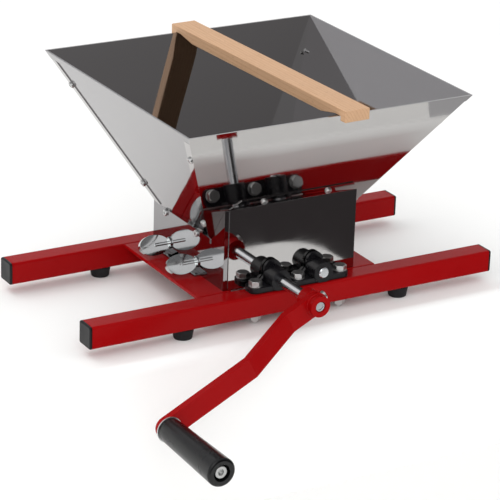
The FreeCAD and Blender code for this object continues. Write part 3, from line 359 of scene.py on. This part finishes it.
def finishes():
    """Every finish, made once and kept by its slot's name."""
    made = bpy.data.materials
    if "polyester_powder_coat" not in made:
        colours = settings()[0]
        powder_coat(colours)
        rolled_stainless("x", colours.steel, line=(120, 0.9, 0.9))
        # The sheets rolled front to back get the darker tint, a painted shade on the same
        # steel
        rolled_stainless("y", colours.steel_shaded, line=(0.9, 120, 0.9))
        moulded("glass_filled_nylon_moulding", colours.bearing, gloss=(0.24, 0.36),
                grain=0.9, depth=0.015, ior=1.53)
        moulded("polyethylene_cap_moulding", colours.cap, gloss=(0.38, 0.5),
                grain=0.9, depth=0.03, ior=1.51)
        moulded("vulcanised_rubber", colours.rubber, gloss=(0.7, 0.85),
                grain=1.2, depth=0.05, ior=1.52)
        moulded("phenolic_grip_moulding", colours.grip, gloss=(0.2, 0.3),
                grain=1.5, depth=0.01, ior=1.58)
        plated("bright_zinc_plating", colours.zinc, gloss=(0.3, 0.42), patch=3)
        plated("nickel_chrome_plating", colours.chrome, gloss=(0.08, 0.15), patch=9)
        turned_metal("ground_steel_bar", colours.shaft, gloss=(0.12, 0.22), ring=0.6)
        turned_metal("milled_aluminium", colours.roller, gloss=(0.3, 0.5), ring=0.8)
        planed_beech(colours)
    return {
        "red_powder_coat": made["polyester_powder_coat"],
        "hopper_stainless": made["rolled_stainless_along_x"],
        "black_plastic": made["glass_filled_nylon_moulding"],
        "cap_plastic": made["polyethylene_cap_moulding"],
        "foot_rubber": made["vulcanised_rubber"],
        "zinc_steel": made["bright_zinc_plating"],
        "chrome": made["nickel_chrome_plating"],
        "shaft_steel": made["ground_steel_bar"],
        "roller_aluminium": made["milled_aluminium"],
        "grip_plastic": made["phenolic_grip_moulding"],
        "beech": made["planed_beech"],
    }


def coat(piece, material):
    """Gives a whole piece one finish."""
    piece.data.materials.clear()
    piece.data.materials.append(material)


def round_edges(piece, width, steps):
    """Rounds the sharp edges of a piece and keeps its flat faces flat to the eye."""
    piece.modifiers.new("Joined corners", "WELD").merge_threshold = SAME_PLACE
    flat = piece.modifiers.new("Whole faces", "DECIMATE")
    flat.decimate_type = "DISSOLVE"
    flat.angle_limit = FLAT_ANGLE
    bevel = piece.modifiers.new("Rounded edges", "BEVEL")
    bevel.width = width
    bevel.segments = steps
    bevel.limit_method = "ANGLE"
    bevel.angle_limit = ROUNDED_ANGLE
    bevel.miter_outer = "MITER_ARC"
    normals = piece.modifiers.new("Even shading", "WEIGHTED_NORMAL")
    normals.weight = FLAT_FACE_WEIGHT
    normals.keep_sharp = True
    piece.data.polygons.foreach_set("use_smooth", [True] * len(piece.data.polygons))


def finish_nodes(names, slot, width, steps=2, material=None):
    """Gives nodes of the frame their finish and their rounded edges."""
    for name in names:
        piece = NODES[name]
        coat(piece, material or finishes()[slot])
        if width:
            round_edges(piece, width, steps)


def swept(name, path, turns, radii, sides, slot, body):
    """A round cord along a path, with its own radius at each point and frame (out, up)."""
    mesh = bmesh.new()
    rings = []
    for place, (out, up), radius in zip(path, turns, radii):
        ring = [place + radius * (math.cos(math.tau * k / sides) * out
                                  + math.sin(math.tau * k / sides) * up) for k in range(sides)]
        rings.append([mesh.verts.new(corner) for corner in ring])
    # It closes on itself where its two ends are as near as neighbouring points
    closed = (path[0] - path[-1]).length < 1.5 * (path[1] - path[0]).length
    following = rings[1:] + rings[:1] if closed else rings[1:]
    for ring, other in zip(rings, following):
        for k in range(sides):
            mesh.faces.new((ring[k], ring[k - 1], other[k - 1], other[k]))
    if not closed:
        mesh.faces.new(rings[0])
        mesh.faces.new(rings[-1][::-1])
    bmesh.ops.recalc_face_normals(mesh, faces=mesh.faces)
    data = bpy.data.meshes.new(name)
    mesh.to_mesh(data)
    mesh.free()
    data.polygons.foreach_set("use_smooth", [True] * len(data.polygons))
    piece = bpy.data.objects.new(name, data)
    bpy.context.scene.collection.objects.link(piece)
    coat(piece, finishes()[slot])
    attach(piece, body)


def bead(name, path, turns, size, body):
    """Coated weld bead along a path."""
    swell = 1 - BEAD_VALLEY
    radii = [size * (BEAD_VALLEY + swell * abs(math.cos(math.pi * step / BEAD_STEPS_PER_DROP)))
             for step in range(len(path))]
    swept(name, path, turns, radii, BEAD_SIDES, "red_powder_coat", body)


def weld_ring(name, centre, radius, size, body):
    """Weld bead round a bar that lies along Y."""
    angles = [math.tau * k / BEAD_RING_STEPS for k in range(BEAD_RING_STEPS)]
    outs = [Vector((math.cos(angle), 0, math.sin(angle))) for angle in angles]
    bead(name, [centre + radius * out for out in outs], [(out, Y_AXIS) for out in outs],
         size, body)


def weld_line(name, start, end, size, body):
    """Straight weld bead along X."""
    count = max(BEAD_LEAST_STEPS, round((end - start).length / BEAD_STEP))
    path = [start.lerp(end, step / count) for step in range(count + 1)]
    bead(name, path, [(Y_AXIS, Z_AXIS)] * len(path), size, body)


def bolt_thread(name, x, y, size):
    """Thread on the end of an upright bearing bolt, as a ridge that winds round it."""
    radius = BOLT_RADIUS - THREAD_SUNK * size
    count = round((BOLT_NUT - BOLT_END) / BOLT_PITCH * THREAD_STEPS)
    runout = THREAD_RUNOUT * THREAD_STEPS
    path, turns, radii = [], [], []
    for step in range(count + 1):
        angle = math.tau * step / THREAD_STEPS
        out = Vector((math.cos(angle), math.sin(angle), 0))
        height = BOLT_END + BOLT_PITCH * step / THREAD_STEPS
        path.append(Vector((x, y, height)) + radius * out)
        turns.append((out, Z_AXIS))
        from_end = min(step, count - step)
        radii.append(size * min(1.0, THREAD_TIP + (1 - THREAD_TIP) * from_end / runout))
    swept(name, path, turns, radii, THREAD_SIDES, "zinc_steel", "frame")


class SCRATTER_OT_tubes(bpy.types.Operator):
    """Coats the tubes and cross plates, and finishes their caps and feet"""

    bl_idname = "scratter.tubes"
    bl_label = "Tubes, plates, caps and feet"

    def execute(self, context):
        sizes = settings()[1]
        finish_nodes(["front_tube", "rear_tube"], "red_powder_coat", sizes.sheet_rounding)
        finish_nodes(["left_cross_plate", "right_cross_plate", "left_clamp_tab",
                      "right_clamp_tab"], "red_powder_coat", sizes.bar_rounding)
        finish_nodes(["tube_end_caps"], "cap_plastic", sizes.sheet_rounding)
        finish_nodes(["rubber_feet"], "foot_rubber", sizes.plastic_rounding)
        for hand in ("left", "right"):
            low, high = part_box(hand + "_cross_plate")
            for side, y in (("front", low[1]), ("rear", high[1])):
                start = Vector((low[0] + sizes.weld, y, low[2]))
                end = Vector((high[0] - sizes.weld, y, low[2]))
                weld_line("plate_weld_%s_%s" % (hand, side), start, end, sizes.weld, "frame")
        return {"FINISHED"}


class SCRATTER_OT_bearings(bpy.types.Operator):
    """Finishes the moulded bearing bridges"""

    bl_idname = "scratter.bearings"
    bl_label = "Bearing bridges"

    def execute(self, context):
        sizes = settings()[1]
        finish_nodes(["front_bearing_bridge", "rear_bearing_bridge"], "black_plastic",
                     sizes.plastic_rounding, 3)
        return {"FINISHED"}


class SCRATTER_OT_fasteners(bpy.types.Operator):
    """Finishes the bolts, washers, nuts and screws"""

    bl_idname = "scratter.fasteners"
    bl_label = "Bolts, washers, nuts and screws"

    def execute(self, context):
        sizes = settings()[1]
        finish_nodes(["bearing_bolts", "bearing_washers", "bearing_nuts", "foot_screws",
                      "foot_nuts", "weld_nuts", "hopper_seam_screws", "hopper_lip_screws",
                      "cover_screws", "crank_set_screw", "grip_bolt", "grip_washer",
                      "grip_nut"],
                     "zinc_steel", sizes.metal_rounding)
        for number, x in enumerate(BOLT_X, 1):
            for side, y in (("front", -BOLT_Y), ("rear", BOLT_Y)):
                bolt_thread("bolt_thread_%s_%d" % (side, number), x, y, sizes.thread)
        return {"FINISHED"}


class SCRATTER_OT_spades(bpy.types.Operator):
    """Finishes the spade screws"""

    bl_idname = "scratter.spades"
    bl_label = "Spade screws"

    def execute(self, context):
        sizes = settings()[1]
        finish_nodes(["left_spade_screw_front", "left_spade_screw_rear",
                      "right_spade_screw_front", "right_spade_screw_rear"], "chrome",
                     sizes.plastic_rounding, 3)
        return {"FINISHED"}


class SCRATTER_OT_sheets(bpy.types.Operator):
    """Finishes the hopper and the housing's sheets"""

    bl_idname = "scratter.sheets"
    bl_label = "Hopper and housing sheets"

    def execute(self, context):
        sizes = settings()[1]
        finish_nodes(["hopper_front_panel", "hopper_rear_panel", "front_cover", "rear_cover"],
                     "hopper_stainless", sizes.sheet_rounding)
        # The side sheets take the stainless with the darker tint, which is painted shade
        shaded_steel = bpy.data.materials["rolled_stainless_along_y"]
        finish_nodes(["hopper_left_panel", "hopper_right_panel", "left_side_panel",
                      "right_side_panel", "left_chute", "right_chute",
                      "left_locating_strip", "right_locating_strip"],
                     "hopper_stainless", sizes.sheet_rounding, material=shaded_steel)
        return {"FINISHED"}


class SCRATTER_OT_rollers(bpy.types.Operator):
    """Finishes the shafts, the toothed rollers and their pins"""

    bl_idname = "scratter.rollers"
    bl_label = "Shafts and rollers"

    def execute(self, context):
        sizes = settings()[1]
        finish_nodes(["drive_shaft", "idle_shaft", "drive_roller_pins", "idle_roller_pins"],
                     "shaft_steel", sizes.metal_rounding)
        finish_nodes(["drive_roller", "idle_roller"], "roller_aluminium",
                     sizes.metal_rounding)
        return {"FINISHED"}


class SCRATTER_OT_crank(bpy.types.Operator):
    """Coats the crank's hub and arm, and finishes its grip"""

    bl_idname = "scratter.crank"
    bl_label = "Crank and grip"

    def execute(self, context):
        sizes = settings()[1]
        finish_nodes(["crank_hub", "crank_arm"], "red_powder_coat", sizes.bar_rounding, 3)
        low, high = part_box("crank_hub")
        middle = (Vector(low) + Vector(high)) / 2
        radius = (high[0] - low[0]) / 2
        for side, inset in (("front", ARM_SETBACK), ("rear", ARM_SETBACK + ARM_THICKNESS)):
            centre = Vector((middle.x, low[1] + inset, middle.z))
            weld_ring("hub_weld_" + side, centre, radius, sizes.weld, "crank")
        finish_nodes(["crank_grip"], "grip_plastic", sizes.metal_rounding)
        return {"FINISHED"}


class SCRATTER_OT_pusher(bpy.types.Operator):
    """Finishes the wooden pusher"""

    bl_idname = "scratter.pusher"
    bl_label = "Wooden pusher"

    def execute(self, context):
        sizes = settings()[1]
        finish_nodes(["wooden_pusher"], "beech", sizes.wood_rounding, 3)
        return {"FINISHED"}


# Table, with a lower floor before its front edge, and the wall that it runs up into
TABLE_FRONT = -0.140
TABLE_BACK = 4.4
TABLE_HALF_WIDTH = 4.4
TABLE_EDGE_RADIUS = 0.012
LOWER_FLOOR = -0.190
LOWER_FRONT = -0.682
LOWER_RIGHT = 0.395
LOWER_CORNER = 0.055
WALL_TOP = 2.6
WALL_CURVE = 0.5

# Light: lamps with their place, width and height, and the tent of soft light round all
LAMPS_FACE = Vector((0, 0, 0.1))
OVERHEAD = ((-0.9, 0.5, 1.9), 1.5, 1.1)
SIDE_CARD = ((-1.9, -3.35, 2.3), 2.6, 3.2)
TENT_RADIUS = 7.0
TENT_FINENESS = 4

# Room in the metal's mirror: its dark side, and how far off that the dark starts and is full
DARK_SIDE = (0.5, -0.82, -0.1)
DARK_START = 0.25
DARK_FULL = 0.8

# Camera: its place in metres, its turns in degrees, and its focal length in pixels
CAMERA_PLACE = Vector((-1.2958282, -2.1964209, 1.0486326))
CAMERA_AZIMUTH = math.radians(-30.5691)
CAMERA_ELEVATION = math.radians(21.5524)
CAMERA_ROLL = math.radians(1.8684)
CAMERA_FOCUS = 2483.303
CAMERA_NEAR = 0.05
CAMERA_FAR = 60.0
PHOTO_WIDTH = 500
SENSOR_WIDTH = 36.0


def stage_mesh(name, points, faces, material, smooth=True):
    """A piece of the stage from its corners and faces."""
    mesh = bpy.data.meshes.new(name)
    mesh.from_pydata(points, [], faces)
    mesh.polygons.foreach_set("use_smooth", [smooth] * len(mesh.polygons))
    mesh.materials.append(material)
    piece = bpy.data.objects.new(name, mesh)
    bpy.context.scene.collection.objects.link(piece)


def arc(centre, radius, start, end, steps):
    """Points on an arc between two angles in degrees."""
    angles = [math.radians(start + (end - start) * i / steps) for i in range(steps + 1)]
    return [(centre[0] + radius * math.cos(a), centre[1] + radius * math.sin(a))
            for a in angles]


def matt_table_paint(stage):
    """Matt emulsion, rolled on board."""
    # Nearly white with no mirror image, a trifle uneven, and greyer up the wall
    material, tree, place = surface("matt_table_paint", Roughness=0.9, IOR=1.3)
    uneven = noise(tree, place, 420, detail=2)
    height = add(tree, "ShaderNodeSeparateXYZ", {0: place}).outputs["Z"]
    upward = between(tree, height, 0.0, 1.0, 0.0, WALL_CURVE)
    level = mixed(tree, uneven, shade(stage.table, 0.99), stage.table)
    return finished(material, Base_Color=mixed(tree, upward, level, stage.wall))


def lay_table(stage):
    """The table and the wall as one bent sheet, and the lower floor."""
    paint = matt_table_paint(stage)
    steps = stage.steps
    radius = TABLE_EDGE_RADIUS
    profile = [(TABLE_BACK, WALL_TOP)]
    profile += arc((TABLE_BACK - WALL_CURVE, WALL_CURVE), WALL_CURVE, 0, -90, steps)
    profile += arc((TABLE_FRONT + radius, -radius), radius, 90, 180, steps)
    profile += [(TABLE_FRONT, LOWER_FLOOR)]
    points = [(side * TABLE_HALF_WIDTH, y, z) for y, z in profile for side in (-1, 1)]
    faces = [(2 * i, 2 * i + 1, 2 * i + 3, 2 * i + 2) for i in range(len(profile) - 1)]
    stage_mesh("table_and_wall", points, faces, paint)
    corner = arc((LOWER_RIGHT - LOWER_CORNER, LOWER_FRONT + LOWER_CORNER), LOWER_CORNER,
                 -90, 0, steps)
    outline = [(-TABLE_HALF_WIDTH, TABLE_FRONT), (-TABLE_HALF_WIDTH, LOWER_FRONT),
               *corner, (LOWER_RIGHT, TABLE_FRONT)]
    stage_mesh("lower_floor", [(x, y, LOWER_FLOOR) for x, y in outline],
               [tuple(range(len(outline)))], paint, smooth=False)


def hang_tent(scene, stage):
    """Tent that lights everything softly from all round, and isn't mirrored by metal."""
    lit = bpy.data.materials.new("soft_light_tent")
    lit.use_nodes = True
    tree = lit.node_tree
    tree.nodes.clear()
    glow = add(tree, "ShaderNodeEmission", {"Color": (1, 1, 1, 1), "Strength": stage.glow})
    add(tree, "ShaderNodeOutputMaterial", {"Surface": glow.outputs[0]})
    shell = bmesh.new()
    bmesh.ops.create_icosphere(shell, subdivisions=TENT_FINENESS, radius=TENT_RADIUS)
    mesh = bpy.data.meshes.new("light_tent")
    shell.to_mesh(mesh)
    shell.free()
    mesh.materials.append(lit)
    tent = bpy.data.objects.new("light_tent", mesh)
    scene.collection.objects.link(tent)
    tent.visible_glossy = False
    tent.visible_shadow = False


def paint_room(scene, stage):
    """Room that the metal mirrors: dark in front, with pale walls elsewhere."""
    world = bpy.data.worlds.new("room")
    world.use_nodes = True
    tree = world.node_tree
    direction = add(tree, "ShaderNodeTexCoord").outputs["Generated"]
    facing = add(tree, "ShaderNodeVectorMath", {0: direction, 1: DARK_SIDE},
                 operation="DOT_PRODUCT").outputs["Value"]
    dark = between(tree, facing, 0.0, 1.0, DARK_START, DARK_FULL)
    seen = mixed(tree, dark, stage.walls, stage.room)
    tree.links.new(seen, tree.nodes["Background"].inputs["Color"])
    scene.world = world


def hang_lamp(scene, name, placing, power, mirrored):
    """A lit rectangle that faces the object."""
    place, width, height = placing
    lamp = bpy.data.lights.new(name, "AREA")
    lamp.shape = "RECTANGLE"
    lamp.size = width
    lamp.size_y = height
    lamp.energy = power
    card = bpy.data.objects.new(name, lamp)
    card.location = place
    card.rotation_euler = (LAMPS_FACE - card.location).to_track_quat("-Z", "Y").to_euler()
    card.visible_glossy = mirrored
    scene.collection.objects.link(card)


def place_camera(scene):
    """Camera at the photograph's place, angle and focal length."""
    ahead = Vector((-math.sin(CAMERA_AZIMUTH) * math.cos(CAMERA_ELEVATION),
                    math.cos(CAMERA_AZIMUTH) * math.cos(CAMERA_ELEVATION),
                    -math.sin(CAMERA_ELEVATION)))
    level = ahead.cross(Z_AXIS).normalized()
    upright = level.cross(ahead)
    right = level * math.cos(CAMERA_ROLL) + upright * math.sin(CAMERA_ROLL)
    up = upright * math.cos(CAMERA_ROLL) - level * math.sin(CAMERA_ROLL)
    eye = bpy.data.cameras.new("photo_view")
    eye.sensor_width = SENSOR_WIDTH
    eye.lens = CAMERA_FOCUS * SENSOR_WIDTH / PHOTO_WIDTH
    eye.clip_start = CAMERA_NEAR
    eye.clip_end = CAMERA_FAR
    viewer = bpy.data.objects.new("photo_view", eye)
    turn = Matrix((right, up, -ahead)).transposed().to_4x4()
    viewer.matrix_world = Matrix.Translation(CAMERA_PLACE) @ turn
    scene.collection.objects.link(viewer)
    scene.camera = viewer


class SCRATTER_OT_stage(bpy.types.Operator):
    """Sets up the table, the wall behind it, the light and the camera"""

    bl_idname = "scratter.stage"
    bl_label = "Table, light and camera"

    def execute(self, context):
        scene = context.scene
        stage = settings()[2]
        scene.view_settings.view_transform = "Standard"
        lay_table(stage)
        hang_tent(scene, stage)
        paint_room(scene, stage)
        hang_lamp(scene, "overhead_softbox", OVERHEAD, stage.key, mirrored=False)
        hang_lamp(scene, "side_card", SIDE_CARD, stage.card, mirrored=True)
        place_camera(scene)
        return {"FINISHED"}


OPERATORS = (
    SCRATTER_OT_tubes,
    SCRATTER_OT_bearings,
    SCRATTER_OT_fasteners,
    SCRATTER_OT_spades,
    SCRATTER_OT_sheets,
    SCRATTER_OT_rollers,
    SCRATTER_OT_crank,
    SCRATTER_OT_pusher,
    SCRATTER_OT_stage,
)


class SCRATTER_PT_sidebar(bpy.types.Panel):
    """Lists the scratter's pieces, colours, sizes and stage"""

    bl_idname = "SCRATTER_PT_sidebar"
    bl_label = "Apple scratter"
    bl_space_type = "VIEW_3D"
    bl_region_type = "UI"
    bl_category = "Scratter"

    def draw(self, context):
        for group in settings():
            column = self.layout.column()
            for name in group.bl_rna.properties.keys():
                if name not in ("rna_type", "name"):
                    column.prop(group, name)
        for operator in OPERATORS:
            self.layout.operator(operator.bl_idname)


GROUPS = {
    "scratter_colours": ScratterColours,
    "scratter_sizes": ScratterSizes,
    "scratter_stage": ScratterStage,
}


def register():
    for cls in (*GROUPS.values(), *OPERATORS, SCRATTER_PT_sidebar):
        bpy.utils.register_class(cls)
    for name, group in GROUPS.items():
        setattr(bpy.types.Scene, name, PointerProperty(type=group))


def unregister():
    for name in GROUPS:
        delattr(bpy.types.Scene, name)
    for cls in (SCRATTER_PT_sidebar, *reversed(OPERATORS), *reversed(list(GROUPS.values()))):
        bpy.utils.unregister_class(cls)


def main():
    register()
    bpy.ops.scratter.tubes()
    bpy.ops.scratter.bearings()
    bpy.ops.scratter.fasteners()
    bpy.ops.scratter.spades()
    bpy.ops.scratter.sheets()
    bpy.ops.scratter.rollers()
    bpy.ops.scratter.crank()
    bpy.ops.scratter.pusher()
    bpy.ops.scratter.stage()


if __name__ == "__main__":
    main()
